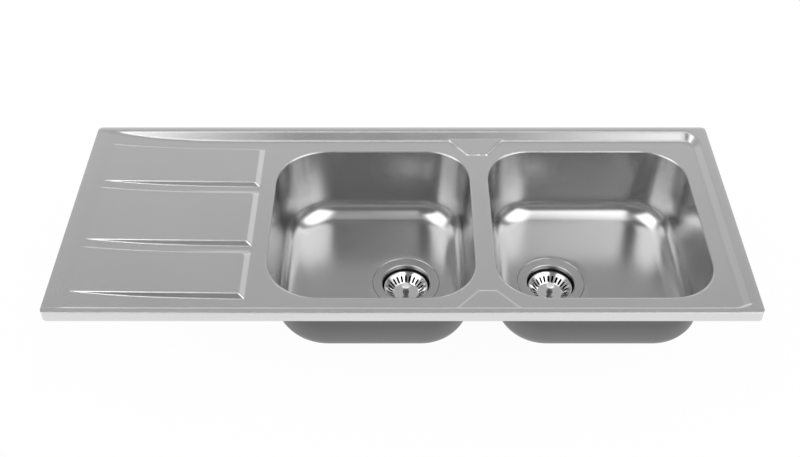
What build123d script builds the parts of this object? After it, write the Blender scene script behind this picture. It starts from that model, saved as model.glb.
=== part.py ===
from build123d import *
from math import tan, radians
import os

# Inset kitchen sink: a pressed deck with a drainer, two drawn bowls and two basket strainers.
# X runs along the deck with the drainer at -X, Y runs from front to back, Z is up.
# The origin is the middle of the deck, on the worktop that the sealing strip rests on.

# Deck sheet, skirt and rim
deck_length = 1160.0
deck_sheet = 1.0
lip_height = 19.5
plan_corner_radius = 9.0
rim_edge_radius = 1.5
hem_width = 9.0
rim_back = 12.5
rim_front = 11.5
rim_right = 17.6
rim_left = 22.0

# Recess round the bowls
recess_depth = 8.0
back_slope_run = 22.0
front_slope_run = 5.0
right_slope_run = 13.5
recess_corner_radius = 11.0

# Drainer: three plateaus with channels between them
drainer_to_bowl = 28.0
back_channel_width = 52.5
front_channel_width = 33.5
channel_width = 29.5
outer_plateau_width = 93.5
plateau_drop = 1.2
plateau_flare = 12.5
plateau_slant = 4.5
plateau_end_run = 10.0
plateau_corner_radius = 5.0
plateau_wall_angle = 45.0

# Raised ears between the bowls
ear_height = 2.0
back_ear_root_width = 94.0
back_ear_tip_width = 36.0
front_ear_root_width = 103.0
front_ear_tip_width = 29.0
ear_reach = 40.0
ear_wall_angle = 45.0

# Bowls
left_bowl_length = 351.0
right_bowl_length = 364.0
bowl_width = 372.5
bowl_depth = 153.0
bowl_sheet = 0.8
bowl_corner_radius = 80.0
left_bowl_far_radius = 91.0
bowl_bottom_radius = 38.0
bowl_draft = 4.5
bowl_front_draft = 3.5
bowl_flange_width = 8.0
bowl_divider = 34.6
bowl_from_right = 58.6
bowl_from_front = 42.2
bowl_from_back = 65.3

# Sound pads under the bowls
pad_length = 220.0
pad_width = 230.0
pad_thickness = 2.0
pad_corner_radius = 25.0
pad_drain_margin = 8.0

# Sealing strip behind the skirt
strip_height = 2.0
strip_width = 7.0
strip_gap = 0.3

# Brackets for the worktop clips
bracket_width = 20.0
bracket_foot = 7.0
bracket_sheet = 1.2
bracket_reach = 16.0
bracket_slot_length = 10.0
bracket_slot_width = 4.0

# Drain opening in each bowl
drain_from_divider = 115.5
drain_forward = 12.4
drain_recess_radius = 61.0
drain_recess_depth = 2.2
drain_hole_radius = 45.5

# Strainer cup
cup_sheet = 0.8
cup_flange_radius = 60.5
cup_radius = 43.5
cup_lip_radius = 2.5
cup_seat_depth = 30.2
well_radius = 27.0
well_depth = 11.8
well_slots = 6
well_slot_length = 13.0
well_slot_width = 8.0
well_slot_middle = 16.5

# Seals of the drain
flange_seal_thickness = 1.0
flange_seal_width = 10.0
under_seal_thickness = 2.5
seal_gap = 0.3

# Waste housing
housing_flange_radius = 56.0
housing_flange_thickness = 4.0
housing_wall = 3.5
housing_gap = 2.7
housing_body_depth = 29.0
housing_cone_height = 20.0
outlet_radius = 23.9
outlet_bore_radius = 20.0
outlet_length = 26.0
boss_radius = 8.5
boss_gap = 1.2
boss_length = 18.0
boss_shoulder = 3.0
rib_thickness = 3.0
rib_height = 8.0
rib_count = 3

# Clamping screw and its brass insert
screw_radius = 3.0
screw_length = 20.0
screw_head_radius = 7.0
screw_head_height = 7.5
screw_socket_depth = 6.5
screw_hole_gap = 0.3
insert_radius = 5.5
insert_length = 12.0
thread_gap = 0.05

# Basket
basket_sheet = 0.7
basket_rim_radius = 39.7
basket_rim_width = 2.2
basket_rim_lip = 2.5
basket_rim_below_floor = 12.0
basket_depth = 14.0
basket_disc_radius = 22.5
basket_wall_top_radius = 36.3
basket_wall_top_drop = 1.2
slot_count = 24
slot_width = 4.0
slot_inner_radius = 23.6
slot_outer_radius = 33.2

# Knob, stopper and snap ring on the basket stem
knob_height = 18.6
knob_head_radius = 8.0
knob_head_height = 5.5
knob_crown_radius = 2.6
knob_neck_radius = 4.2
knob_foot_radius = 5.6
knob_foot_height = 1.2
stem_radius = 2.8
stem_gap = 0.05
stopper_radius = 31.0
stopper_hub_radius = 20.0
stopper_hub_height = 2.0
stopper_rim_thickness = 1.5
washer_radius = 11.0
washer_thickness = 1.0
stem_tip_gap = 1.0
ring_thickness = 1.2
ring_groove_depth = 0.6
ring_above_tip = 1.6
socket_gap = 0.5
ring_socket_gap = 0.15

# Levels and places that follow from the sizes above
rim_z = lip_height
base_z = rim_z - recess_depth
weld_z = base_z - deck_sheet
floor_z = rim_z - bowl_depth
deck_width = bowl_from_front + bowl_width + bowl_from_back
deck_left = -deck_length / 2
deck_right = deck_length / 2
deck_front = -deck_width / 2
deck_back = deck_width / 2

recess_left = deck_left + rim_left
recess_right = deck_right - rim_right
recess_back = deck_back - rim_back
recess_front = deck_front + rim_front

bowl_front = deck_front + bowl_from_front
bowl_back = bowl_front + bowl_width
bowl_y = (bowl_front + bowl_back) / 2
right_bowl_right = deck_right - bowl_from_right
right_bowl_left = right_bowl_right - right_bowl_length
left_bowl_right = right_bowl_left - bowl_divider
left_bowl_left = left_bowl_right - left_bowl_length
left_bowl_x = (left_bowl_left + left_bowl_right) / 2
right_bowl_x = (right_bowl_left + right_bowl_right) / 2
divider_x = (left_bowl_right + right_bowl_left) / 2

drain_y = bowl_y - drain_forward
left_drain_x = left_bowl_right - drain_from_divider
right_drain_x = right_bowl_left + drain_from_divider

# The drainer floor falls from the rim at recess_left to the recess floor at drainer_end
drainer_end = left_bowl_left - drainer_to_bowl
drainer_length = drainer_end - recess_left

# Tools that cut the deck stand this far past its faces
over = recess_depth

os.makedirs("parts", exist_ok=True)


def write(piece, name):
    piece.part.label = name
    export_step(piece.part, f"parts/{name}.step")


# Plateau with sloped walls, lofted between its top outline and a wider foot below the recess floor.
# Both long edges slant towards the back as they near the tip. The back edge also flares out by the cube
# of the way to go, which is the same law as the fall of the drainer floor.
def plateau(front_y, back_y):
    wall_slope = tan(radians(plateau_wall_angle))
    end_slope = plateau_end_run / (recess_depth - plateau_drop)
    top_end = drainer_end - plateau_end_run
    with BuildPart() as raised:
        for level in (0, recess_depth):
            grow = wall_slope * level
            tip_x = recess_left - grow
            end_x = top_end + end_slope * level
            third = (end_x - tip_x) / 3
            with BuildSketch(Plane.XY.offset(rim_z - plateau_drop - level)):
                with BuildLine():
                    front_edge = Line((tip_x, front_y - grow + plateau_slant), (end_x, front_y - grow))
                    end_edge = Line(front_edge @ 1, (end_x, back_y + grow))
                    back_edge = Bezier(
                        end_edge @ 1,
                        (end_x - third, back_y + grow + plateau_slant / 3),
                        (tip_x + third, back_y + grow + 2 * plateau_slant / 3),
                        (tip_x, back_y + grow + plateau_slant + plateau_flare),
                    )
                    Line(back_edge @ 1, front_edge @ 0)
                make_face()
        loft(ruled=True)
        end_wall = raised.faces().sort_by(Axis.X)[-1]
        fillet(end_wall.edges().sort_by(Axis.Y)[-1], plateau_corner_radius)
    return raised


# The three plateaus share the recess, and the middle one takes what the others leave
back_plateau_back = recess_back - back_channel_width
back_plateau_front = back_plateau_back - outer_plateau_width
middle_plateau_back = back_plateau_front - channel_width
front_plateau_front = recess_front + front_channel_width
front_plateau_back = front_plateau_front + outer_plateau_width
middle_plateau_front = front_plateau_back + channel_width
plateaus = [
    plateau(back_plateau_front, back_plateau_back),
    plateau(middle_plateau_front, middle_plateau_back),
    plateau(front_plateau_front, front_plateau_back),
]


# A raised trapezoid from the foot of a slope towards the gap between the two bowls
def ear(root_y, toward, root_width, tip_width):
    tip_y = root_y + toward * ear_reach
    under_y = root_y - toward * ear_reach
    with BuildPart() as raised:
        with BuildSketch(Plane.XY.offset(base_z + ear_height)):
            with BuildLine():
                Polyline(
                    (divider_x - root_width / 2, under_y),
                    (divider_x - root_width / 2, root_y),
                    (divider_x - tip_width / 2, tip_y),
                    (divider_x + tip_width / 2, tip_y),
                    (divider_x + root_width / 2, root_y),
                    (divider_x + root_width / 2, under_y),
                    close=True,
                )
            make_face()
        extrude(amount=ear_height + deck_sheet, dir=(0, 0, -1), taper=-ear_wall_angle)
    return raised


ears = [
    ear(recess_back - back_slope_run, -1, back_ear_root_width, back_ear_tip_width),
    ear(recess_front + front_slope_run, 1, front_ear_root_width, front_ear_tip_width),
]

# What the press tool pushes down: the recess with its sloped sides, less the plateaus and the ears
with BuildPart() as pressing:
    with BuildSketch(Plane.XZ):
        with BuildLine():
            fall = Bezier(
                (recess_left, rim_z),
                (recess_left + drainer_length / 3, base_z),
                (recess_left + 2 * drainer_length / 3, base_z),
                (drainer_end, base_z),
            )
            Polyline(
                fall @ 1,
                (recess_right - right_slope_run, base_z),
                (recess_right, rim_z),
                (recess_right + right_slope_run, rim_z + over),
                (recess_left, rim_z + over),
                fall @ 0,
            )
        make_face()
    extrude(amount=deck_width, both=True)
    with BuildSketch(Plane.YZ):
        with BuildLine():
            Polyline(
                (recess_front - front_slope_run, rim_z + over),
                (recess_front + 2 * front_slope_run, base_z - over),
                (recess_back - 2 * back_slope_run, base_z - over),
                (recess_back + back_slope_run, rim_z + over),
                close=True,
            )
        make_face()
    extrude(amount=deck_length, both=True, mode=Mode.INTERSECT)
    right_slope = pressing.faces().filter_by(GeomType.PLANE).sort_by(Axis.X)[-1]
    slope_ends = right_slope.edges().filter_by(Axis.Y, reverse=True)
    fillet(slope_ends, recess_corner_radius)
    for raised in plateaus + ears:
        add(raised.part, mode=Mode.SUBTRACT)

# Space under the sheet: the same form, one sheet lower, and open below the foot of the skirt
with BuildPart() as under_space:
    with BuildSketch(Plane.XY.offset(-over)):
        RectangleRounded(
            deck_length - 2 * deck_sheet,
            deck_width - 2 * deck_sheet,
            plan_corner_radius - deck_sheet,
        )
    extrude(amount=over + lip_height - deck_sheet)
    fillet(under_space.faces().sort_by(Axis.Z)[-1].edges(), rim_edge_radius - deck_sheet)
    add(pressing.part.moved(Location((0, 0, -deck_sheet))), mode=Mode.SUBTRACT)

# The plan of each bowl: its two ends, and the corner radius at its left end
left_shape = (left_bowl_left, left_bowl_right, left_bowl_far_radius)
right_shape = (right_bowl_left, right_bowl_right, bowl_corner_radius)


# Outline of a bowl at some level: it draws in below the weld by the draft of its walls, with the same corner
# radii, and grows outwards by a wall or a flange
def bowl_outline(shape, level, grow):
    left_end, right_end, left_radius = shape
    drop = weld_z - level
    side_inset = drop * tan(radians(bowl_draft)) - grow
    front_inset = drop * tan(radians(bowl_front_draft)) - grow
    low_x = left_end + side_inset
    high_x = right_end - side_inset
    low_y = bowl_front + front_inset
    high_y = bowl_back - side_inset
    with BuildSketch(Plane.XY.offset(level)) as outline:
        with Locations(((low_x + high_x) / 2, (low_y + high_y) / 2)):
            Rectangle(high_x - low_x, high_y - low_y)
        fillet(outline.vertices().group_by(Axis.X)[0], left_radius + grow)
        fillet(outline.vertices().group_by(Axis.X)[-1], bowl_corner_radius + grow)
    return outline


# Deck: pressed sheet with its skirt, the inward hem over the sealing strip and the bowl openings
with BuildPart() as deck:
    with BuildSketch():
        RectangleRounded(deck_length, deck_width, plan_corner_radius)
    extrude(amount=lip_height)
    fillet(deck.faces().sort_by(Axis.Z)[-1].edges(), rim_edge_radius)
    add(pressing.part, mode=Mode.SUBTRACT)
    add(under_space.part, mode=Mode.SUBTRACT)
    with BuildSketch(Plane.XY.offset(strip_height)):
        RectangleRounded(
            deck_length - deck_sheet, deck_width - deck_sheet, plan_corner_radius - deck_sheet / 2
        )
        RectangleRounded(
            deck_length - 2 * deck_sheet - 2 * hem_width,
            deck_width - 2 * deck_sheet - 2 * hem_width,
            plan_corner_radius,
            mode=Mode.SUBTRACT,
        )
    extrude(amount=deck_sheet)
    for shape in (left_shape, right_shape):
        extrude(bowl_outline(shape, weld_z, 0).sketch, amount=lip_height, both=True, mode=Mode.SUBTRACT)
write(deck, "deck")

# Sealing strip: a flat ring stuck under the hem, level with the foot of the skirt
with BuildPart() as seal_strip:
    strip_outer = deck_sheet + strip_gap
    strip_inner = strip_outer + strip_width
    with BuildSketch():
        RectangleRounded(
            deck_length - 2 * strip_outer, deck_width - 2 * strip_outer, plan_corner_radius - strip_gap
        )
        RectangleRounded(
            deck_length - 2 * strip_inner,
            deck_width - 2 * strip_inner,
            plan_corner_radius - strip_gap,
            mode=Mode.SUBTRACT,
        )
    extrude(amount=strip_height)
write(seal_strip, "seal_strip")

# Angle brackets: a foot welded flat under the recess floor and a slotted leg that hangs down
bracket_back_y = (bowl_back + bowl_flange_width + recess_back - back_slope_run) / 2
bracket_front_y = (bowl_front - bowl_flange_width + recess_front + front_slope_run) / 2
bracket_right_x = (right_bowl_right + bowl_flange_width + recess_right - right_slope_run) / 2
bracket_far = bowl_width / 4
bracket_seats = [
    (left_bowl_x, bracket_back_y, 0),
    (right_bowl_x, bracket_back_y, 0),
    (left_bowl_x, bracket_front_y, 180),
    (right_bowl_x, bracket_front_y, 180),
    (bracket_right_x, bowl_y - bracket_far, -90),
    (bracket_right_x, bowl_y + bracket_far, -90),
]
with BuildPart() as fixing_brackets:
    for seat_x, seat_y, turn in bracket_seats:
        seat_plane = Plane((seat_x, seat_y, weld_z)).rotated((0, 0, turn))
        with BuildSketch(seat_plane):
            Rectangle(bracket_width, bracket_foot)
        extrude(amount=-bracket_sheet)
        with BuildSketch(seat_plane):
            with Locations((0, (bracket_foot - bracket_sheet) / 2)):
                Rectangle(bracket_width, bracket_sheet)
        extrude(amount=-(weld_z + bracket_reach))
        slot_plane = Plane(
            seat_plane.from_local_coords((0, bracket_foot / 2, -(weld_z + bracket_reach / 2))),
            x_dir=seat_plane.x_dir,
            z_dir=seat_plane.y_dir,
        )
        with BuildSketch(slot_plane):
            SlotOverall(bracket_slot_length, bracket_slot_width)
        extrude(amount=-2 * bracket_sheet, both=True, mode=Mode.SUBTRACT)
write(fixing_brackets, "fixing_brackets")


# Inside or outside form of a bowl: a drafted rounded box with a large bottom radius
def bowl_form(shape, wall):
    mouth = bowl_outline(shape, weld_z, wall)
    bottom = bowl_outline(shape, floor_z - wall, wall)
    with BuildPart() as form:
        loft([mouth.sketch, bottom.sketch], ruled=True)
        fillet(form.faces().sort_by(Axis.Z)[0].edges(), bowl_bottom_radius + wall)
    return form


# Drawn bowl with an out-turned flange, a round recess for the strainer and its hole
def make_bowl(name, shape, drain_x):
    inside = bowl_form(shape, 0)
    outside = bowl_form(shape, bowl_sheet)
    recess_floor = floor_z - drain_recess_depth
    with BuildPart() as bowl:
        add(outside.part)
        extrude(bowl_outline(shape, weld_z, bowl_flange_width).sketch, amount=-bowl_sheet)
        with BuildSketch(Plane((drain_x, drain_y, floor_z))):
            Circle(drain_recess_radius + bowl_sheet)
        extrude(amount=-drain_recess_depth - bowl_sheet)
        add(inside.part, mode=Mode.SUBTRACT)
        with BuildSketch(Plane((drain_x, drain_y, recess_floor))):
            Circle(drain_recess_radius)
        extrude(amount=drain_recess_depth + bowl_sheet, mode=Mode.SUBTRACT)
        with BuildSketch(Plane((drain_x, drain_y, recess_floor))):
            Circle(drain_hole_radius)
        extrude(amount=-2 * bowl_sheet, mode=Mode.SUBTRACT)
    write(bowl, name)


# Damping pad stuck under the flat of a bowl, clear of the strainer recess
def make_pad(name, bowl_x, drain_x):
    with BuildPart() as pad:
        with BuildSketch(Plane((bowl_x, bowl_y, floor_z - bowl_sheet))):
            RectangleRounded(pad_length, pad_width, pad_corner_radius)
            with Locations((drain_x - bowl_x, drain_y - bowl_y)):
                Circle(drain_recess_radius + bowl_sheet + pad_drain_margin, mode=Mode.SUBTRACT)
        extrude(amount=-pad_thickness)
    write(pad, name)


make_bowl("left_bowl", left_shape, left_drain_x)
make_bowl("right_bowl", right_shape, right_drain_x)
make_pad("left_sound_pad", left_bowl_x, left_drain_x)
make_pad("right_sound_pad", right_bowl_x, right_drain_x)

# Levels of the drain, measured up from the bowl floor
recess_level = -drain_recess_depth
flange_under = recess_level + flange_seal_thickness
flange_top = flange_under + cup_sheet
under_seal_top = recess_level - bowl_sheet
housing_top = under_seal_top - under_seal_thickness
seat_level = -cup_seat_depth
well_level = seat_level - well_depth
boss_top = well_level - cup_sheet - boss_gap
boss_bottom = boss_top - boss_length
cone_top = housing_top - housing_body_depth
outlet_top = cone_top - housing_cone_height
outlet_bottom = outlet_top - outlet_length
screw_head_top = well_level + screw_head_height
socket_bottom = screw_head_top - screw_socket_depth
rim_level = -basket_rim_below_floor
disc_level = rim_level - basket_depth
stopper_top = disc_level - basket_sheet
stopper_bottom = seat_level
washer_bottom = stopper_bottom - washer_thickness
stem_tip = socket_bottom + stem_tip_gap
cup_outer_radius = cup_radius + cup_sheet
housing_radius = cup_outer_radius + housing_gap
stem_hole_radius = stem_radius + stem_gap
socket_radius = stem_radius + socket_gap


# A ring or body turned about a drain's axis, from points given as radius and level
def turned(drain_x, points):
    turning_plane = Plane((drain_x, drain_y, floor_z), x_dir=(1, 0, 0), z_dir=(0, -1, 0))
    with BuildPart() as body:
        with BuildSketch(turning_plane):
            with BuildLine():
                Polyline(*points, close=True)
            make_face()
        revolve(axis=Axis((drain_x, drain_y, floor_z), (0, 0, 1)))
    return body


def make_seals(side, drain_x):
    flange_seal = turned(
        drain_x,
        [
            (cup_flange_radius - seal_gap - flange_seal_width, recess_level),
            (cup_flange_radius - seal_gap, recess_level),
            (cup_flange_radius - seal_gap, flange_under),
            (cup_flange_radius - seal_gap - flange_seal_width, flange_under),
        ],
    )
    write(flange_seal, f"{side}_flange_seal")
    under_seal = turned(
        drain_x,
        [
            (housing_radius, housing_top),
            (housing_flange_radius, housing_top),
            (housing_flange_radius, under_seal_top),
            (housing_radius, under_seal_top),
        ],
    )
    write(under_seal, f"{side}_under_seal")


# Strainer cup: flange, straight wall, seat for the stopper and a slotted well below it
def make_cup(side, drain_x):
    with BuildPart() as cup:
        body = turned(
            drain_x,
            [
                (screw_radius + screw_hole_gap, well_level - cup_sheet),
                (well_radius + cup_sheet, well_level - cup_sheet),
                (well_radius + cup_sheet, seat_level - cup_sheet),
                (cup_outer_radius, seat_level - cup_sheet),
                (cup_outer_radius, flange_under),
                (cup_flange_radius, flange_under),
                (cup_flange_radius, flange_top),
                (cup_radius, flange_top),
                (cup_radius, seat_level),
                (well_radius, seat_level),
                (well_radius, well_level),
                (screw_radius + screw_hole_gap, well_level),
            ],
        )
        add(body.part)
        rings = cup.edges().filter_by(GeomType.CIRCLE)
        bend_outside = rings.group_by(Axis.Z)[-2].sort_by(SortBy.RADIUS)[0]
        fillet(bend_outside, cup_lip_radius - cup_sheet)
        rings = cup.edges().filter_by(GeomType.CIRCLE)
        bend_inside = rings.group_by(Axis.Z)[-1].sort_by(SortBy.RADIUS)[0]
        fillet(bend_inside, cup_lip_radius)
        with BuildSketch(Plane((drain_x, drain_y, floor_z + well_level))):
            with PolarLocations(well_slot_middle, well_slots):
                SlotOverall(well_slot_length, well_slot_width)
        extrude(amount=-2 * cup_sheet, mode=Mode.SUBTRACT)
    write(cup, f"{side}_strainer_cup")


# Waste housing: flanged body, cone, threaded outlet and a ribbed boss for the clamping screw
def make_housing(side, drain_x):
    with BuildPart() as housing:
        body = turned(
            drain_x,
            [
                (housing_radius, housing_top),
                (housing_flange_radius, housing_top),
                (housing_flange_radius, housing_top - housing_flange_thickness),
                (housing_radius + housing_wall, housing_top - housing_flange_thickness),
                (housing_radius + housing_wall, cone_top - housing_wall),
                (outlet_radius, outlet_top - housing_wall),
                (outlet_radius, outlet_bottom),
                (outlet_bore_radius, outlet_bottom),
                (outlet_bore_radius, outlet_top),
                (housing_radius, cone_top),
            ],
        )
        add(body.part)
        with BuildSketch(Plane((drain_x, drain_y, floor_z + boss_bottom))):
            Circle(boss_radius)
        extrude(amount=boss_length)
        rib_reach = (outlet_bore_radius + outlet_radius) / 2
        with BuildSketch(Plane((drain_x, drain_y, floor_z + boss_bottom))):
            with PolarLocations(rib_reach / 2, rib_count):
                Rectangle(rib_reach, rib_thickness)
        extrude(amount=rib_height)
        with BuildSketch(Plane((drain_x, drain_y, floor_z + boss_bottom))):
            Circle(insert_radius + thread_gap)
        extrude(amount=boss_length - boss_shoulder, mode=Mode.SUBTRACT)
        with BuildSketch(Plane((drain_x, drain_y, floor_z + boss_top))):
            Circle(screw_radius + screw_hole_gap)
        extrude(amount=-boss_length, mode=Mode.SUBTRACT)
    write(housing, f"{side}_waste_housing")


# Clamping screw with a socket in its head for the basket stem, and the brass insert that it draws up
def make_screw(side, drain_x):
    screw = turned(
        drain_x,
        [
            (0, well_level - screw_length),
            (screw_radius, well_level - screw_length),
            (screw_radius, well_level),
            (screw_head_radius, well_level),
            (screw_head_radius, screw_head_top),
            (socket_radius, screw_head_top),
            (socket_radius, socket_bottom),
            (0, socket_bottom),
        ],
    )
    write(screw, f"{side}_clamp_screw")
    insert_top = boss_top - boss_shoulder
    insert = turned(
        drain_x,
        [
            (screw_radius + thread_gap, insert_top - insert_length),
            (insert_radius, insert_top - insert_length),
            (insert_radius, insert_top),
            (screw_radius + thread_gap, insert_top),
        ],
    )
    write(insert, f"{side}_housing_insert")


# Basket: flat disc, slotted cone and a rim with a turned-down lip
def make_basket(side, drain_x):
    with BuildPart() as basket:
        wall_top = rim_level - basket_wall_top_drop
        body = turned(
            drain_x,
            [
                (stem_hole_radius, stopper_top),
                (basket_disc_radius, stopper_top),
                (basket_wall_top_radius, wall_top - basket_sheet),
                (basket_rim_radius - basket_rim_width, rim_level - basket_sheet),
                (basket_rim_radius - basket_sheet, rim_level - basket_sheet),
                (basket_rim_radius - basket_sheet, rim_level - basket_rim_lip),
                (basket_rim_radius, rim_level - basket_rim_lip),
                (basket_rim_radius, rim_level),
                (basket_rim_radius - basket_rim_width, rim_level),
                (basket_wall_top_radius, wall_top),
                (basket_disc_radius, disc_level),
                (stem_hole_radius, disc_level),
            ],
        )
        add(body.part)
        slot_middle = (slot_inner_radius + slot_outer_radius) / 2
        with BuildSketch(Plane((drain_x, drain_y, floor_z + stopper_top))):
            with PolarLocations(slot_middle, slot_count):
                SlotOverall(slot_outer_radius - slot_inner_radius, slot_width)
        extrude(amount=basket_depth + basket_sheet, mode=Mode.SUBTRACT)
    write(basket, f"{side}_basket")


# Knob with its stem, the rubber stopper, the washer that holds it and the snap ring near the tip
def make_knob(side, drain_x):
    ring_bottom = stem_tip + ring_above_tip
    groove_radius = stem_radius - ring_groove_depth
    knob_top = disc_level + knob_height
    with BuildPart() as knob:
        body = turned(
            drain_x,
            [
                (0, stem_tip),
                (stem_radius, stem_tip),
                (stem_radius, ring_bottom),
                (groove_radius, ring_bottom),
                (groove_radius, ring_bottom + ring_thickness),
                (stem_radius, ring_bottom + ring_thickness),
                (stem_radius, disc_level),
                (knob_foot_radius, disc_level),
                (knob_foot_radius, disc_level + knob_foot_height),
                (knob_neck_radius, disc_level + 2 * knob_foot_height),
                (knob_neck_radius, knob_top - knob_head_height),
                (knob_head_radius, knob_top - knob_head_height / 2),
                (knob_head_radius, knob_top),
                (0, knob_top),
            ],
        )
        add(body.part)
        crown = knob.edges().filter_by(GeomType.CIRCLE).group_by(Axis.Z)[-1]
        fillet(crown, knob_crown_radius)
    write(knob, f"{side}_basket_knob")
    stopper = turned(
        drain_x,
        [
            (stem_hole_radius, stopper_bottom),
            (stopper_radius, stopper_bottom),
            (stopper_radius, stopper_bottom + stopper_rim_thickness),
            (stopper_hub_radius, stopper_bottom + stopper_hub_height),
            (stopper_hub_radius, stopper_top),
            (stem_hole_radius, stopper_top),
        ],
    )
    write(stopper, f"{side}_stopper_seal")
    washer = turned(
        drain_x,
        [
            (stem_hole_radius, washer_bottom),
            (washer_radius, washer_bottom),
            (washer_radius, stopper_bottom),
            (stem_hole_radius, stopper_bottom),
        ],
    )
    write(washer, f"{side}_stopper_washer")
    ring = turned(
        drain_x,
        [
            (groove_radius, ring_bottom),
            (socket_radius - ring_socket_gap, ring_bottom),
            (socket_radius - ring_socket_gap, ring_bottom + ring_thickness),
            (groove_radius, ring_bottom + ring_thickness),
        ],
    )
    write(ring, f"{side}_stem_ring")


for side, drain_x in (("left", left_drain_x), ("right", right_drain_x)):
    make_seals(side, drain_x)
    make_cup(side, drain_x)
    make_housing(side, drain_x)
    make_screw(side, drain_x)
    make_basket(side, drain_x)
    make_knob(side, drain_x)
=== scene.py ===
import bpy
import numpy as np
from math import radians
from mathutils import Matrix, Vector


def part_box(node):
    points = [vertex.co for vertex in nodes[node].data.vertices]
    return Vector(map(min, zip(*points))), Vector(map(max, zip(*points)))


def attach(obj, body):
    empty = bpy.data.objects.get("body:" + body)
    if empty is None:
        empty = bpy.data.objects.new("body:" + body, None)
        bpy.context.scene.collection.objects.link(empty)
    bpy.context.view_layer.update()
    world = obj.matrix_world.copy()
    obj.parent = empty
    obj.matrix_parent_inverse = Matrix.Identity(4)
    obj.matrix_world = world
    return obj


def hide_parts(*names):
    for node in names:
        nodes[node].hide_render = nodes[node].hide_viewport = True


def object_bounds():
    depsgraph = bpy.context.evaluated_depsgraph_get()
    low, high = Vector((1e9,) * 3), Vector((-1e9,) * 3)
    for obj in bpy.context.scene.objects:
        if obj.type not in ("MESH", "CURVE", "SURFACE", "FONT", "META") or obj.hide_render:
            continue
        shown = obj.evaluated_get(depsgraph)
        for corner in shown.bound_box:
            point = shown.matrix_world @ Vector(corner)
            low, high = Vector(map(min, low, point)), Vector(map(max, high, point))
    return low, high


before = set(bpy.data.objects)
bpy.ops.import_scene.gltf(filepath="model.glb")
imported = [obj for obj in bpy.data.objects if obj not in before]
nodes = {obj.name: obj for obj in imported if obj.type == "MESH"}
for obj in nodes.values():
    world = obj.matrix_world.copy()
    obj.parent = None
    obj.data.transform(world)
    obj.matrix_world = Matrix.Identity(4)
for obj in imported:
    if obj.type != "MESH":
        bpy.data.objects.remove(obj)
cadLow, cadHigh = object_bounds()
mm = 0.001  # shapes are worked out in millimetres, meshes are in metres
near = 0.001  # points and grid lines closer than this, in millimetres, are the same
decimals = 3  # of a millimetre, kept in points and grid lines
deckLow, deckHigh = [np.array(corner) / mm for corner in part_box("deck")]
print("frame loaded:", len(nodes), "nodes")

# Camera: looks down on the sink from the front, as in the photograph
view = dict(tilt=43.2, lens=49.05, sensor=36.0, aheadOfFront=1174.1, aboveRim=1287.3, x=-3.6)


def makeCamera():
    data = bpy.data.cameras.new("camera")
    data.lens = view["lens"]
    data.sensor_width = view["sensor"]
    camera = bpy.data.objects.new("camera", data)
    place = (view["x"], deckLow[1] - view["aheadOfFront"], deckHigh[2] + view["aboveRim"])
    camera.location = [v * mm for v in place]
    camera.rotation_euler = (radians(90 - view["tilt"]), 0, 0)
    bpy.context.scene.collection.objects.link(camera)
    bpy.context.scene.camera = camera


makeCamera()
print("camera placed")


# Mesh helpers: all points are numpy arrays in millimetres, and a patch is (points, quads, finish)
def addPiece(name, patches, materials, replaced, body="sink"):
    points, faces, finish = weld(patches)
    mesh = bpy.data.meshes.new(name)
    mesh.from_pydata((points * mm).tolist(), [], faces)
    for material in materials:
        mesh.materials.append(material)
    mesh.polygons.foreach_set("material_index", finish)
    mesh.validate()
    mesh.shade_smooth()
    piece = bpy.data.objects.new(name, mesh)
    bpy.context.scene.collection.objects.link(piece)
    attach(piece, body)
    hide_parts(*replaced)
    print(name, len(mesh.vertices), "points", len(mesh.polygons), "faces")


def weld(patches):  # joins points that coincide to a micrometre and drops corners that fall together
    points = np.concatenate([patch[0] for patch in patches])
    starts = np.cumsum([0] + [len(patch[0]) for patch in patches[:-1]])
    quads = np.concatenate([patch[1] + start for patch, start in zip(patches, starts)])
    finish = np.concatenate([np.full(len(patch[1]), patch[2]) for patch in patches])
    places = np.round(points, decimals)
    first, index = np.unique(places, axis=0, return_index=True, return_inverse=True)[1:]
    faces, kept = [], []
    for face, which in zip(index.reshape(-1)[quads].tolist(), finish.tolist()):
        corners = [c for k, c in enumerate(face) if c != face[k - 1]]
        if len(corners) > 2:
            faces.append(corners)
            kept.append(which)
    used = np.unique(np.concatenate(faces))
    renumber = np.zeros(len(first), int)
    renumber[used] = np.arange(len(used))
    return points[first][used], [renumber[face].tolist() for face in faces], kept


def ringPatch(loops, finish=0):  # closed loops of equal length, from the inside outwards, faces up
    loops = np.asarray(loops)
    rows, count = loops.shape[:2]
    index = np.arange(rows * count).reshape(rows, count)
    after = np.roll(index, -1, axis=1)
    quads = np.stack([index[:-1], index[1:], after[1:], after[:-1]], axis=-1)
    return loops.reshape(-1, 3), quads.reshape(-1, 4), finish


def sheetPatch(points, keep):  # a grid of points[i, j] over x and y, faces up where keep[i, j]
    across, along = points.shape[:2]
    index = np.arange(across * along).reshape(across, along)
    quads = np.stack([index[:-1, :-1], index[1:, :-1], index[1:, 1:], index[:-1, 1:]], axis=-1)
    return points.reshape(-1, 3), quads[keep], 0


def underside(patch, sheet):  # the same patch one sheet lower, facing down
    points, quads, finish = patch
    return points - np.array([0, 0, sheet]), quads[:, ::-1], finish


def arc(center, radius, start, end, count):  # points of a circle in the profile plane, angles in degrees
    angle = np.radians(np.linspace(start, end, count))
    return np.stack([center[0] + radius * np.cos(angle), center[1] + radius * np.sin(angle)], axis=-1)


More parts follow.
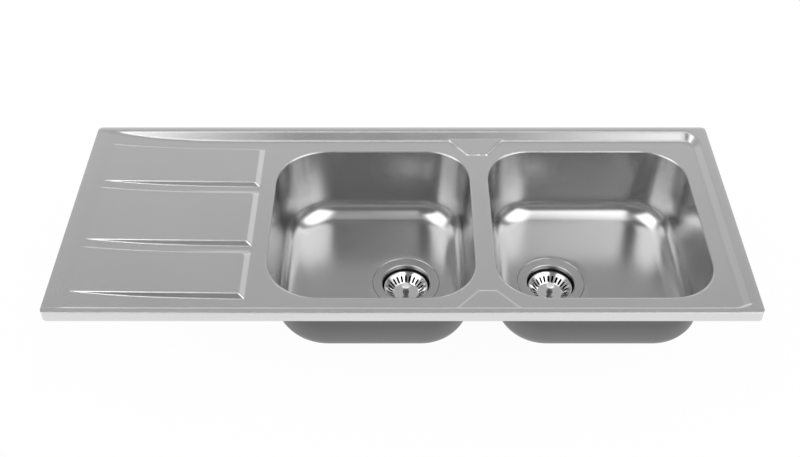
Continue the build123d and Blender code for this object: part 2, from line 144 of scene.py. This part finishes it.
# Deck: the pressed top as a height over the plan. The main sizes are the solid's. The roundings, the front
# slope, the corners of the recess and the front ear's height are set here, to follow the photograph
deck = dict(
    sheet=1.0, cornerRadius=9.0, edgeRadius=0.7, footRadius=0.5,
    rimBack=12.5, rimFront=9.5, rimRight=17.6, rimLeft=22.0,
    depth=8.0, backRun=22.0, frontRun=8.5, rightRun=13.5, recessCorner=16.0,
    hemWidth=9.0, hemLevel=2.0, margin=7.0, topRound=1.2, footRound=1.6,
    collarLoops=26, collarLoopsBelow=6, edgePoints=4, footPoints=3, insidePoints=3,
)
drainer = dict(
    toBowl=28.0, endRun=10.0, drop=1.2, slant=4.5, flare=12.5,
    cornerRound=4.7, crest=0.9, foot=0.6, mitre=1.6,
    fronts=(81.5, -72.0, -195.0), backs=(175.0, 52.0, -101.5),
)
ears = dict(
    heights=(2.0, 0.6), reach=40.0, backRoot=94.0, backTip=36.0, frontRoot=103.0, frontTip=29.0,
    crest=0.5, foot=0.3, steep=1.2, backStart=34.5, frontStart=16.5,
)
bowl = dict(
    cornerRadius=80.0, farRadius=91.0, floorRadius=38.0, draft=4.5, frontDraft=3.5,
    lipRadius=2.2, sheet=0.8, flange=8.0, collar=16.0, recessRadius=61.0, recessDepth=2.2, holeRadius=45.5,
    recessFoot=((-1.0, 0.0), (-0.3, 0.3), (0.0, 1.0)),  # points out and up from the foot of the drain recess
    recessEdge=((0.0, -0.8), (0.25, -0.2), (0.9, 0.0)),  # points out and up from its upper edge
    weldRun=1.0, weldDrop=1.5, bendLoops=15, wallLoops=12, floorLoops=12, lipPoints=9,
)
rimZ = deckHigh[2]
baseZ = rimZ - deck["depth"]
recessLeft = deckLow[0] + deck["rimLeft"]
recessRight = deckHigh[0] - deck["rimRight"]
recessBack = deckHigh[1] - deck["rimBack"]
recessFront = deckLow[1] + deck["rimFront"]


def bowlPlan(side):  # the mouth of a bowl: its four walls, its corner radii, its drafts and its drain
    low, high = [np.array(corner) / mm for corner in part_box(side + "_bowl")]
    cupLow, cupHigh = [np.array(corner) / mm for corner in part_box(side + "_strainer_cup")]
    return dict(
        x=(low[0] + bowl["flange"], high[0] - bowl["flange"]),
        y=(low[1] + bowl["flange"], high[1] - bowl["flange"]),
        radius=(bowl["farRadius"] if side == "left" else bowl["cornerRadius"], bowl["cornerRadius"]),
        drafts=(bowl["draft"], bowl["draft"], bowl["frontDraft"], bowl["draft"]),
        floorZ=low[2] + bowl["recessDepth"] + bowl["sheet"],
        drain=(cupLow[:2] + cupHigh[:2]) / 2,
    )


plans = {side: bowlPlan(side) for side in ("left", "right")}
dividerX = (plans["left"]["x"][1] + plans["right"]["x"][0]) / 2
drainerEnd = plans["left"]["x"][0] - drainer["toBowl"]
plateauEnd = drainerEnd - drainer["endRun"]


def softMin(a, b, k):  # the lower of two surfaces, with a fillet about k wide where they meet
    h = np.maximum(k - np.abs(a - b), 0) / k
    return np.minimum(a, b) - h * h * k / 4


def softMax(a, b, k):
    return -softMin(-a, -b, k)


def roundMin(a, b, k):  # the lower of two slopes, with a round corner in plan where they meet
    corner = k - np.hypot(np.maximum(k - a, 0), np.maximum(k - b, 0))
    return np.where((a < k) & (b < k), corner, np.minimum(a, b))


def wayToGo(x, end):  # share of the drainer still ahead, 1 at its tip and 0 at its end
    return np.clip((end - x) / (end - recessLeft), 0, 1)


def outsideOf(distances):  # distance outside a convex outline, round at its corners
    outside = np.sqrt(sum(np.maximum(d, 0) ** 2 for d in distances))
    return np.where(outside > 0, outside, np.maximum.reduce(distances))


# Height of a plateau's top and walls, as a depth below the rim: 45 degree walls along both slanting edges,
# a flatter end, and a rounded corner where the end meets the back edge
def plateauDepth(x, y, frontY, backY):
    ahead = wayToGo(x, plateauEnd)
    front = frontY + drainer["slant"] * ahead - y
    back = y - backY - drainer["slant"] * ahead - drainer["flare"] * ahead**3
    end = (x - plateauEnd) * (deck["depth"] - drainer["drop"]) / drainer["endRun"]
    away = softMax(front, softMax(back, end, drainer["cornerRound"]), drainer["mitre"])
    return drainer["drop"] + softMax(away, 0 * away, drainer["crest"])


def earDepth(x, y, rootY, toward, root, tip, height):
    along = (y - rootY) * toward
    lean = (root - tip) / 2 / ears["reach"]
    side = (np.abs(x - dividerX) - root / 2 + lean * along) / np.sqrt(1 + lean * lean)
    away = outsideOf([side, along - ears["reach"]])
    return deck["depth"] - height + softMax(away * ears["steep"], 0 * away, ears["crest"])


# Depth below the rim: the drainer floor falls by the cube of the way to go, the back and right slopes are
# planes, the front one is a parabola, and the plateaus and ears rise out of them
def deckHeight(x, y):
    fall = deck["depth"] * (1 - wayToGo(x, drainerEnd) ** 3)
    back = (recessBack - y) * deck["depth"] / deck["backRun"]
    front = deck["depth"] * (np.maximum(y - recessFront, 0) / deck["frontRun"]) ** 2
    right = (recessRight - x) * deck["depth"] / deck["rightRun"]
    sides = roundMin(np.minimum(back, front), right, deck["recessCorner"])
    depth = softMin(fall, sides, deck["footRound"])
    for frontY, backY in zip(drainer["fronts"], drainer["backs"]):
        depth = softMin(depth, plateauDepth(x, y, frontY, backY), drainer["foot"])
    backY, frontY = deckHigh[1] - ears["backStart"], deckLow[1] + ears["frontStart"]
    backEar = earDepth(x, y, backY, -1, ears["backRoot"], ears["backTip"], ears["heights"][0])
    frontEar = earDepth(x, y, frontY, 1, ears["frontRoot"], ears["frontTip"], ears["heights"][1])
    depth = softMin(depth, np.minimum(backEar, frontEar), ears["foot"])
    return rimZ - softMax(depth, 0 * depth, deck["topRound"])


def lines(*stretches):  # grid lines from stretches of (start, end, step), joined and sorted
    marks = [np.linspace(a, b, max(2, int(round(abs(b - a) / step)) + 1)) for a, b, step in stretches]
    return np.unique(np.round(np.concatenate(marks), decimals))


def collarBox(plan):
    reach = bowl["collar"]
    low = np.array([plan["x"][0] - reach, plan["y"][0] - reach])
    high = np.array([plan["x"][1] + reach, plan["y"][1] + reach])
    return low, high


# Grid lines lie close together along the edges of the pressing and far apart on its flats. The first two
# rows say how far the close lines reach, and the other rows are steps
grid = dict(
    tipPast=4.0, tipsTo=-500.0, endAhead=5.0, endPast=3.0,
    past=2.0, earPast=4.0, earTopPast=0.8, wallPast=0.5,
    corner=0.4, rim=2.0, tips=4.0, plateau=11.0, plateauEnd=1.0,
    bowlX=9.0, earX=1.6, rightFlat=2.5, rightSlope=0.9,
    edge=0.5, frontFlat=2.0, bowlY=8.0, backFlat=4.0, backSlope=2.5, earTip=0.7, earY=2.0, earTop=0.4,
    frontWall=0.65, backWall=1.0,
)
edgeX = deckHigh[0] - deck["margin"]
edgeY = deckHigh[1] - deck["margin"]
cornerStep = deck["cornerRadius"] - deck["margin"]
leftBox, rightBox = collarBox(plans["left"]), collarBox(plans["right"])
earLeft = dividerX - ears["frontRoot"] / 2 - grid["earPast"]
earRight = dividerX + ears["frontRoot"] / 2 + grid["earPast"]
tipX = recessLeft + grid["tipPast"]
endX, splitX = plateauEnd - grid["endAhead"], drainerEnd + grid["endPast"]
slopeLow, slopeHigh = recessRight - deck["rightRun"] - grid["past"], recessRight + grid["past"]
xLines = lines(
    (-edgeX, -edgeX + cornerStep, grid["corner"]),
    (-edgeX + cornerStep, tipX, grid["rim"]),
    (tipX, grid["tipsTo"], grid["tips"]),
    (grid["tipsTo"], endX, grid["plateau"]),
    (endX, splitX, grid["plateauEnd"]),
    (leftBox[0][0], earLeft, grid["bowlX"]),
    (earLeft, leftBox[1][0], grid["earX"]),
    (rightBox[0][0], earRight, grid["earX"]),
    (earRight, rightBox[1][0], grid["bowlX"]),
    (rightBox[1][0], slopeLow, grid["rightFlat"]),
    (slopeLow, slopeHigh, grid["rightSlope"]),
    (slopeHigh, edgeX - cornerStep, grid["rim"]),
    (edgeX - cornerStep, edgeX, grid["corner"]),
)
backFoot, frontFoot = recessBack - deck["backRun"], recessFront + deck["frontRun"]
frontHigh, backLow, backHigh = frontFoot + grid["past"], backFoot - grid["past"], backFoot + grid["past"]
rimLow = recessBack - grid["past"]
backTip = deckHigh[1] - ears["backStart"] - ears["reach"]
frontTip = deckLow[1] + ears["frontStart"] + ears["reach"]
earTop = recessBack - deck["backRun"] * (1 - ears["heights"][0] / deck["depth"])
bowlY = lines(
    (-edgeY, frontHigh, grid["edge"]),
    (frontHigh, leftBox[0][1], grid["frontFlat"]),
    (leftBox[0][1], leftBox[1][1], grid["bowlY"]),
    (leftBox[1][1], backLow, grid["backFlat"]),
    (backLow, backHigh, grid["edge"]),
    (backHigh, rimLow, grid["backSlope"]),
    (rimLow, edgeY, grid["edge"]),
    (backTip - grid["earPast"], backTip + grid["past"], grid["earTip"]),
    (frontTip - grid["past"], frontTip + grid["earPast"], grid["earTip"]),
    (backTip, leftBox[1][1], grid["earY"]),
    (leftBox[0][1], frontTip, grid["earY"]),
    (earTop - grid["earTopPast"], earTop + grid["earTopPast"], grid["earTop"]),
)
# Over the drainer there are more lines, and they lean with the edges of its plateaus: keys are lines that
# keep to a front edge or a back edge, in order from the front of the deck to its back
wallRun = deck["depth"] - drainer["drop"]
past, wallPast = grid["past"], grid["wallPast"]
frontKeys = np.concatenate([(y - wallRun - wallPast, y + past) for y in drainer["fronts"][::-1]])
backKeys = np.concatenate([(y - past, y + wallRun + wallPast) for y in drainer["backs"][::-1]])
wallLines = [(low, high, grid["frontWall"]) for low, high in frontKeys.reshape(-1, 2)]
wallLines += [(low, high, grid["backWall"]) for low, high in backKeys.reshape(-1, 2)]
drainerY = np.unique(np.concatenate([bowlY, lines(*wallLines)]))
drainerX, bowlX = xLines[xLines <= splitX + near], xLines[xLines > splitX + near]
print("grids", len(drainerX), "by", len(drainerY), "and", len(bowlX), "by", len(bowlY))


def leaningLines():  # the drainer's grid, as x and y of each point
    still = np.array([-edgeY, frontHigh, backLow, edgeY])
    keys = np.concatenate([still, frontKeys, backKeys])
    order = np.argsort(keys)
    gx, gy = np.meshgrid(drainerX, drainerY, indexing="ij")
    for row, x in enumerate(drainerX):
        ahead = wayToGo(x, plateauEnd)
        fade = np.clip((x + edgeX) / (recessLeft + edgeX), 0, 1)
        lean = drainer["slant"] * ahead * fade
        flare = drainer["flare"] * ahead**3 * fade
        shifts = np.concatenate([0 * still, 0 * frontKeys + lean, 0 * backKeys + lean + flare])
        gy[row] += np.interp(drainerY, keys[order], shifts[order])
    return gx, gy


# Points where the grid lines meet the outline of a box, counter-clockwise
def boxLoop(low, high, leftY, rightY):
    xs, up, down = [
        marks[(marks >= low[axis] - near) & (marks <= high[axis] + near)]
        for marks, axis in ((xLines, 0), (rightY, 1), (leftY, 1))
    ]
    front = np.stack([xs[:-1], np.full(len(xs) - 1, up[0])], axis=-1)
    right = np.stack([np.full(len(up) - 1, xs[-1]), up[:-1]], axis=-1)
    back = np.stack([xs[:0:-1], np.full(len(xs) - 1, up[-1])], axis=-1)
    left = np.stack([np.full(len(down) - 1, xs[0]), down[:0:-1]], axis=-1)
    return np.concatenate([front, right, back, left])


# A rounded rectangle is a core rectangle and a radius at each end. Each point of a loop round it is a place
# on the core, as shares of its length and width, and a direction outwards. Insets of the left, right, front
# and back walls, and what the radii grow by, then give the loop at any depth
def coreAt(plan, inset, grow, shares):
    left, right, front, back = inset
    radii = plan["radius"][0] + grow, plan["radius"][1] + grow
    radius = radii[0] + (radii[1] - radii[0]) * shares[:, 0]
    lowX, highX = plan["x"][0] + left + radii[0], plan["x"][1] - right - radii[1]
    lowY, highY = plan["y"][0] + front + radius, plan["y"][1] - back - radius
    core = np.column_stack([lowX + (highX - lowX) * shares[:, 0], lowY + (highY - lowY) * shares[:, 1]])
    return core, radius


def spokes(plan, loop):
    none = np.zeros(4)
    shares = np.zeros((len(loop), 2))
    ends = coreAt(plan, none, 0, shares)[0][0, 0], coreAt(plan, none, 0, shares + 1)[0][0, 0]
    shares[:, 0] = np.clip((loop[:, 0] - ends[0]) / (ends[1] - ends[0]), 0, 1)
    low, radius = coreAt(plan, none, 0, shares)
    shares[:, 1] = np.clip((loop[:, 1] - low[:, 1]) / (plan["y"][1] - radius - low[:, 1]), 0, 1)
    outward = loop - coreAt(plan, none, 0, shares)[0]
    return shares, outward / np.linalg.norm(outward, axis=1)[:, None]


def loopAt(plan, spoke, inset, grow, levels):  # levels of the four walls blend round the corners
    shares, outward = spoke
    core, radius = coreAt(plan, inset, grow, shares)
    square = outward**2
    ends = np.where(outward[:, 0] < 0, levels[0], levels[1])
    sides = np.where(outward[:, 1] < 0, levels[2], levels[3])
    return np.column_stack([core + outward * radius[:, None], square[:, 0] * ends + square[:, 1] * sides])


def offsetLoop(plan, spoke, reach, z):  # a level loop at some reach outside the mouth
    return loopAt(plan, spoke, np.full(4, -reach), reach, np.full(4, z))


def collar(lip, outer, count):  # loops on the deck from a bowl's lip out to the grid
    loops = [lip + (outer - lip) * share for share in np.linspace(0, 1, count)]
    return [np.column_stack([loop, deckHeight(loop[:, 0], loop[:, 1])]) for loop in loops]


# Top and underside of the deck are the same height field, one sheet apart. A collar of loops runs from
# each bowl's lip to the grid, and a rim of loops carries the skirt and the hem
def makeDeck(material):
    sheet = deck["sheet"]
    patches = []

    def addSheet(gx, gy, keep):
        top = sheetPatch(np.stack([gx, gy, deckHeight(gx, gy)], axis=-1), keep)
        patches.extend([top, underside(top, sheet)])

    addSheet(*leaningLines(), np.ones((len(drainerX) - 1, len(drainerY) - 1), bool))
    below = bowlY[np.searchsorted(bowlY, drainerY, side="right") - 1]  # a strip where the added lines end
    across = np.stack([np.full(len(below), splitX), np.full(len(below), bowlX[0])])
    addSheet(across, np.stack([drainerY, below]), np.ones((1, len(below) - 1), bool))
    midX, midY = np.meshgrid((bowlX[1:] + bowlX[:-1]) / 2, (bowlY[1:] + bowlY[:-1]) / 2, indexing="ij")
    keep = np.ones(midX.shape, bool)
    for low, high in (leftBox, rightBox):
        keep &= ~((midX > low[0]) & (midX < high[0]) & (midY > low[1]) & (midY < high[1]))
    addSheet(*np.meshgrid(bowlX, bowlY, indexing="ij"), keep)
    for plan, box in ((plans["left"], leftBox), (plans["right"], rightBox)):
        outer = boxLoop(*box, bowlY, bowlY)
        lip = offsetLoop(plan, spokes(plan, outer), bowl["lipRadius"], 0)[:, :2]
        top, low = collar(lip, outer, deck["collarLoops"]), collar(lip, outer, deck["collarLoopsBelow"])
        patches += [ringPatch(top), underside(ringPatch(low), sheet)]
        patches.append(ringPatch([top[0] - np.array([0, 0, sheet]), top[0]]))
    half = np.array([edgeX, edgeY]) - cornerStep
    loop = boxLoop(np.array([-edgeX, -edgeY]), np.array([edgeX, edgeY]), drainerY, bowlY)
    base = np.clip(loop, -half, half)
    outward = (loop - base) / np.linalg.norm(loop - base, axis=1)[:, None]
    outer, edge, foot = deck["cornerRadius"], deck["edgeRadius"], deck["footRadius"]
    profile = arc((outer - edge, rimZ - edge), edge, 90, 0, deck["edgePoints"]).tolist()
    profile += arc((outer - foot, foot), foot, 0, -90, deck["footPoints"]).tolist()
    hemLow, hemHigh = deck["hemLevel"], deck["hemLevel"] + sheet
    hemIn = outer - sheet - deck["hemWidth"]
    profile += [(outer - sheet, 0), (outer - sheet, hemLow), (hemIn, hemLow), (hemIn, hemHigh)]
    profile += [(outer - sheet, hemHigh), (outer - sheet, rimZ - edge)]
    profile += arc((outer - edge, rimZ - edge), edge - sheet, 0, 90, deck["insidePoints"]).tolist()
    loops = [np.column_stack([loop, deckHeight(loop[:, 0], loop[:, 1])])]
    loops += [np.column_stack([base + outward * reach, np.full(len(base), z)]) for reach, z in profile]
    loops += [loops[0] - np.array([0, 0, sheet])]
    patches.append(ringPatch(loops))
    addPiece("deckShell", patches, [material], ["deck"])


# Bowl: loops from the drain hole over the recess and the floor, up the large radius and the drafted walls to
# the lip, then back down the outside one sheet away
def makeBowl(side, inside, outside):
    plan = plans[side]
    spoke = spokes(plan, boxLoop(*collarBox(plan), bowlY, bowlY))
    count = len(spoke[0])
    drafts = np.radians(plan["drafts"])
    lip, sheet = bowl["lipRadius"], bowl["sheet"]
    lipZ, weldZ = baseZ - lip, baseZ - deck["sheet"]

    def wallInset(levels, wall):
        return (lipZ - levels) * np.tan(drafts) - wall

    def bend(wall, share):  # the bottom radius, tangent to the floor at share 0 and to the walls at share 1
        radius = bowl["floorRadius"] + wall
        middle = plan["floorZ"] - wall + radius
        turn = np.radians(-90) + share * (np.radians(90) - drafts)
        inset = wallInset(middle, wall) + radius / np.cos(drafts) - radius * np.cos(turn)
        grow = wall - np.maximum(inset - wallInset(plan["floorZ"], wall), 0).mean()
        return inset, grow, middle + radius * np.sin(turn)

    def wallLoops(wall, topZ):
        loops = [loopAt(plan, spoke, *bend(wall, share)) for share in np.linspace(0, 1, bowl["bendLoops"])]
        low = bend(wall, 1)[2]
        for share in np.linspace(0, 1, bowl["wallLoops"])[1:]:
            levels = low + (topZ - low) * share
            loops.append(loopAt(plan, spoke, wallInset(levels, wall), wall, levels))
        return loops

    def drainLoops(wall):  # from the drain hole over the recess to the foot of the bottom radius
        foot = loopAt(plan, spoke, *bend(wall, 0))[:, :2]
        toward = foot - plan["drain"]
        distance = np.linalg.norm(toward, axis=1)[:, None]
        toward = toward / distance
        recess, level = bowl["recessRadius"] + wall, plan["floorZ"] - wall
        low = level - bowl["recessDepth"]
        steps = [(bowl["holeRadius"], low)]
        steps += [(recess + out, low + up) for out, up in bowl["recessFoot"]]
        steps += [(recess + out, level + up) for out, up in bowl["recessEdge"]]
        loops = [np.column_stack([plan["drain"] + toward * r, np.full(count, z)]) for r, z in steps]
        start = steps[-1][0]
        for share in np.linspace(0, 1, bowl["floorLoops"])[1:-1]:
            ring = plan["drain"] + toward * (start + (distance - start) * share)
            loops.append(np.column_stack([ring, np.full(count, level)]))
        return loops

    inner = drainLoops(0) + wallLoops(0, lipZ)
    edge = arc((lip, lipZ), lip, 180, 90, bowl["lipPoints"])[1:].tolist()
    edge += [(lip, weldZ), (bowl["flange"], weldZ)]
    edge += [(bowl["flange"], weldZ - sheet), (sheet + bowl["weldRun"], weldZ - sheet)]
    inner += [offsetLoop(plan, spoke, reach, z) for reach, z in edge]
    outer = drainLoops(sheet) + wallLoops(sheet, weldZ - sheet - bowl["weldDrop"])
    inner += outer[:-2:-1]
    outer.insert(0, inner[0])
    patches = [ringPatch(inner), ringPatch(outer[::-1], 1)]
    addPiece(side + "BowlShell", patches, [inside, outside], [side + "_bowl"])


# Materials: procedural, on Object coordinates
def newMaterial(name, metallic):
    material = bpy.data.materials.new(name)
    material.use_nodes = True
    tree = material.node_tree
    tree.nodes.clear()
    output = tree.nodes.new("ShaderNodeOutputMaterial")
    shader = tree.nodes.new("ShaderNodeBsdfPrincipled")
    shader.inputs["Metallic"].default_value = metallic
    tree.links.new(shader.outputs["BSDF"], output.inputs["Surface"])
    return material, tree, shader


def evenGrey(level):
    return level, level, level, 1


def noise(tree, scale, detail):
    where = tree.nodes.new("ShaderNodeTexCoord")
    texture = tree.nodes.new("ShaderNodeTexNoise")
    texture.inputs["Scale"].default_value = scale
    texture.inputs["Detail"].default_value = detail
    tree.links.new(where.outputs["Object"], texture.inputs["Vector"])
    return texture.outputs["Fac"]


def spread(tree, factor, low, high, fromLow=0.3, fromHigh=0.7):  # maps one range to another
    node = tree.nodes.new("ShaderNodeMapRange")
    node.inputs["From Min"].default_value = fromLow
    node.inputs["From Max"].default_value = fromHigh
    node.inputs["To Min"].default_value = low
    node.inputs["To Max"].default_value = high
    tree.links.new(factor, node.inputs["Value"])
    return node.outputs["Result"]


def tint(tree, shader, factor, stops):  # a colour ramp of greys, at (place, grey) from 0 to 1
    ramp = tree.nodes.new("ShaderNodeValToRGB")
    for place, grey in stops[1:-1]:
        ramp.color_ramp.elements.new(place)
    for element, (place, grey) in zip(ramp.color_ramp.elements, stops):
        element.color = evenGrey(grey)
    tree.links.new(factor, ramp.inputs["Fac"])
    tree.links.new(ramp.outputs["Color"], shader.inputs["Base Color"])


def roughen(tree, shader, factor, low, high):
    tree.links.new(spread(tree, factor, low, high), shader.inputs["Roughness"])


def bump(tree, shader, factor, strength, distance):
    node = tree.nodes.new("ShaderNodeBump")
    node.inputs["Strength"].default_value = strength
    node.inputs["Distance"].default_value = distance
    tree.links.new(factor, node.inputs["Height"])
    tree.links.new(node.outputs["Normal"], shader.inputs["Normal"])


def satinSteel(name, grey, rough, speckle=0.02, sway=0.015):
    material, tree, shader = newMaterial(name, metallic=1)
    tint(tree, shader, noise(tree, scale=600, detail=2), ((0, grey - speckle), (1, grey + speckle)))
    roughen(tree, shader, noise(tree, scale=6, detail=2), rough - sway, rough + sway)
    return material


# The grey goes by the height, as painted light and shade: rises are in millimetres over the base
def paintedLightSteel(name, rough, base, rises, greys, sway=0.015):
    material, tree, shader = newMaterial(name, metallic=1)
    where = tree.nodes.new("ShaderNodeTexCoord")
    split = tree.nodes.new("ShaderNodeSeparateXYZ")
    tree.links.new(where.outputs["Object"], split.inputs["Vector"])
    levels = [base + rise for rise in rises]
    height = spread(tree, split.outputs["Z"], 0, 1, levels[0] * mm, levels[-1] * mm)
    places = [(level - levels[0]) / (levels[-1] - levels[0]) for level in levels]
    tint(tree, shader, height, list(zip(places, greys)))
    roughen(tree, shader, noise(tree, scale=6, detail=2), rough - sway, rough + sway)
    return material


def polishedMetal(name, color, low, high, scale=40):
    material, tree, shader = newMaterial(name, metallic=1)
    shader.inputs["Base Color"].default_value = color
    roughen(tree, shader, noise(tree, scale, detail=2), low, high)
    return material


def mattPolymer(name, low, high, rough, scale, sway=0.05):
    material, tree, shader = newMaterial(name, metallic=0)
    grain = noise(tree, scale, detail=4)
    tint(tree, shader, grain, ((0, low), (1, high)))
    roughen(tree, shader, grain, rough - sway, rough + sway)
    bump(tree, shader, grain, strength=0.1, distance=0.0003)
    return material


floorZ = plans["left"]["floorZ"]
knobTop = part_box("left_basket_knob")[1][2] / mm
deckSteel = satinSteel("deckSteel", grey=0.72, rough=0.25)
bowlSteel = satinSteel("bowlSteel", grey=0.54, rough=0.23, speckle=0.04)
bracketSteel = satinSteel("bracketSteel", grey=0.5, rough=0.4)
# Painted shade on the outside of the bowls: dark overall, darkest along the bottom edge, with a lighter band
# just above it
bowlOutsidePaintedShade = paintedLightSteel(
    "bowlOutsidePaintedShade", rough=0.45, base=floorZ, rises=(-3, 1, 14, 70), greys=(0.06, 0.22, 0.25, 0.16)
)
cupSteel = paintedLightSteel(  # painted shade: dark below the basket, where little light gets in
    "cupSteel", rough=0.32, base=floorZ,
    rises=(-30, -16, -15, -4, -2.5), greys=(0.003, 0.005, 0.3, 0.35, 0.52),
)
# Painted highlight: the knob's top is white; painted shade: its stem is dark
knobSteelPaintedLight = paintedLightSteel("knobSteelPaintedLight", rough=0.5, base=knobTop, rises=(-18, -6, -4), greys=(0.1, 0.2, 1.0))
screwSteel = polishedMetal("screwSteel", color=evenGrey(0.6), low=0.19, high=0.22)
basketChrome = polishedMetal("basketChrome", color=evenGrey(0.82), low=0.13, high=0.16)
insertBrass = polishedMetal("insertBrass", color=(0.72, 0.5, 0.2, 1), low=0.2, high=0.3, scale=200)
sealRubber = mattPolymer("sealRubber", low=0.012, high=0.025, rough=0.7, scale=300)
stripFoam = mattPolymer("stripFoam", low=0.02, high=0.05, rough=0.85, scale=600)
padBitumen = mattPolymer("padBitumen", low=0.02, high=0.045, rough=0.8, scale=250)
housingPlastic = mattPolymer("housingPlastic", low=0.74, high=0.8, rough=0.45, scale=120)

finishes = {
    "fixing_brackets": bracketSteel, "seal_strip": stripFoam, "sound_pad": padBitumen,
    "flange_seal": sealRubber, "under_seal": sealRubber, "strainer_cup": cupSteel,
    "waste_housing": housingPlastic, "clamp_screw": screwSteel, "housing_insert": insertBrass,
    "basket": basketChrome, "basket_knob": knobSteelPaintedLight, "stopper_seal": sealRubber,
    "stopper_washer": screwSteel, "stem_ring": sealRubber,
}


def dressNodes():
    for name, node in nodes.items():
        kind = name.split("_", 1)[1] if name.startswith(("left_", "right_")) else name
        if kind in finishes:
            node.data.materials.clear()
            node.data.materials.append(finishes[kind])


makeDeck(deckSteel)
makeBowl("left", bowlSteel, bowlOutsidePaintedShade)
makeBowl("right", bowlSteel, bowlOutsidePaintedShade)
dressNodes()
print("pieces made")

# Stage: a white floor under the outlets, and a world with two softboxes overhead and a strip behind the
# sink. The floor is in metres, and the sky is (degrees, level)
stage = dict(
    floorSize=40.0, floorGap=0.0005, floorGrey=0.9, floorGlow=0.97, lowestZ=0.01,
    sky=(
        (0, 1.0), (22, 0.95), (30, 0.72), (38, 0.56), (48, 0.44), (57, 0.32), (64, 0.22),
        (71, 0.09), (82, 0.09), (90, 0.36), (108, 0.36), (125, 0.22),
        (135, 0.18), (160, 0.2), (172, 0.5), (180, 0.9),
    ),
    boxLevel=2.1,
)
# Each edge of a softbox is (a, b, c, soft): it is lit where a * x/z + b * y/z + c is above 0
softboxes = (
    ((-1, 0, -0.24, 0.03), (0.38, -1, 0.6, 0.06), (-0.61, 1, 0.36, 0.06), (1, 0, 2.0, 0.2)),
    ((1, -0.12, -0.186, 0.1), (-0.32, -1, 0.36, 0.06), (0.85, 1, 0.95, 0.12), (-1, 0, 2.0, 0.2)),
    ((0, 1, -0.38, 0.03), (0, -1, 0.49, 0.03), (1, 0, 0.3, 0.05), (-1, 0, 2.0, 0.2)),
)


def mathNode(tree, operation, first, second):  # a link or a plain number in each socket
    node = tree.nodes.new("ShaderNodeMath")
    node.operation = operation
    for socket, value in zip(node.inputs, (first, second)):
        if isinstance(value, (int, float)):
            socket.default_value = value
        else:
            tree.links.new(value, socket)
    return node.outputs[0]


def mixShaders(tree, factor, first, second, output):
    mix = tree.nodes.new("ShaderNodeMixShader")
    tree.links.new(factor, mix.inputs["Fac"])
    tree.links.new(first.outputs[0], mix.inputs[1])
    tree.links.new(second.outputs[0], mix.inputs[2])
    tree.links.new(mix.outputs[0], output.inputs["Surface"])


def makeFloor():
    size = stage["floorSize"]
    z = cadLow[2] - stage["floorGap"]
    mesh = bpy.data.meshes.new("floor")
    corners = [(-size, -size, z), (size, -size, z), (size, size, z), (-size, size, z)]
    mesh.from_pydata(corners, [], [(0, 1, 2, 3)])
    material = bpy.data.materials.new("floorWhite")
    material.use_nodes = True
    tree = material.node_tree
    tree.nodes.clear()
    output = tree.nodes.new("ShaderNodeOutputMaterial")
    matt = tree.nodes.new("ShaderNodeBsdfDiffuse")
    matt.inputs["Color"].default_value = evenGrey(stage["floorGrey"])
    white = tree.nodes.new("ShaderNodeEmission")
    white.inputs["Color"].default_value = evenGrey(1)
    path = tree.nodes.new("ShaderNodeLightPath")  # seen or mirrored, the floor is white under a faint shadow
    seen = mathNode(tree, "MAXIMUM", path.outputs["Is Camera Ray"], path.outputs["Is Glossy Ray"])
    seen = mathNode(tree, "MAXIMUM", seen, path.outputs["Is Transmission Ray"])
    mixShaders(tree, mathNode(tree, "MULTIPLY", seen, stage["floorGlow"]), matt, white, output)
    mesh.materials.append(material)
    floor = bpy.data.objects.new("floor", mesh)
    bpy.context.scene.collection.objects.link(floor)


# The world is a ramp round the X axis, from the horizon behind the sink over the top to the camera's side,
# and on it the softboxes, which are bounded by straight edges on a level plane overhead
def makeWorld():
    world = bpy.data.worlds.new("studio")
    bpy.context.scene.world = world
    world.use_nodes = True
    tree = world.node_tree
    tree.nodes.clear()
    output = tree.nodes.new("ShaderNodeOutputWorld")
    background = tree.nodes.new("ShaderNodeBackground")
    background.inputs["Color"].default_value = evenGrey(1)
    where = tree.nodes.new("ShaderNodeTexCoord")
    split = tree.nodes.new("ShaderNodeSeparateXYZ")
    tree.links.new(where.outputs["Generated"], split.inputs["Vector"])
    angle = mathNode(tree, "ARCTAN2", split.outputs["Z"], split.outputs["Y"])
    ramp = tree.nodes.new("ShaderNodeValToRGB")
    stops = ramp.color_ramp.elements
    for degrees, level in stage["sky"][1:-1]:
        stops.new(degrees / 180)
    for stop, (degrees, level) in zip(stops, stage["sky"]):
        stop.color = evenGrey(level)
    tree.links.new(mathNode(tree, "DIVIDE", angle, np.pi), ramp.inputs["Fac"])
    total = ramp.outputs["Color"]
    above = mathNode(tree, "MAXIMUM", split.outputs["Z"], stage["lowestZ"])
    plane = tree.nodes.new("ShaderNodeCombineXYZ")
    tree.links.new(mathNode(tree, "DIVIDE", split.outputs["X"], above), plane.inputs["X"])
    tree.links.new(mathNode(tree, "DIVIDE", split.outputs["Y"], above), plane.inputs["Y"])
    plane.inputs["Z"].default_value = 1
    for edges in softboxes:
        light = mathNode(tree, "GREATER_THAN", split.outputs["Z"], 0)
        for a, b, c, soft in edges:
            edge = tree.nodes.new("ShaderNodeVectorMath")
            edge.operation = "DOT_PRODUCT"
            edge.inputs[1].default_value = (a, b, c)
            tree.links.new(plane.outputs[0], edge.inputs[0])
            light = mathNode(tree, "MULTIPLY", light, spread(tree, edge.outputs["Value"], 0, 1, -soft, soft))
        total = mathNode(tree, "ADD", total, mathNode(tree, "MULTIPLY", light, stage["boxLevel"]))
    tree.links.new(total, background.inputs["Strength"])
    backdrop = tree.nodes.new("ShaderNodeBackground")  # the camera sees plain white beyond the floor
    backdrop.inputs["Color"].default_value = evenGrey(1)
    path = tree.nodes.new("ShaderNodeLightPath")
    mixShaders(tree, path.outputs["Is Camera Ray"], background, backdrop, output)


makeFloor()
makeWorld()
bpy.context.scene.view_settings.view_transform = "Standard"
print("stage lit")
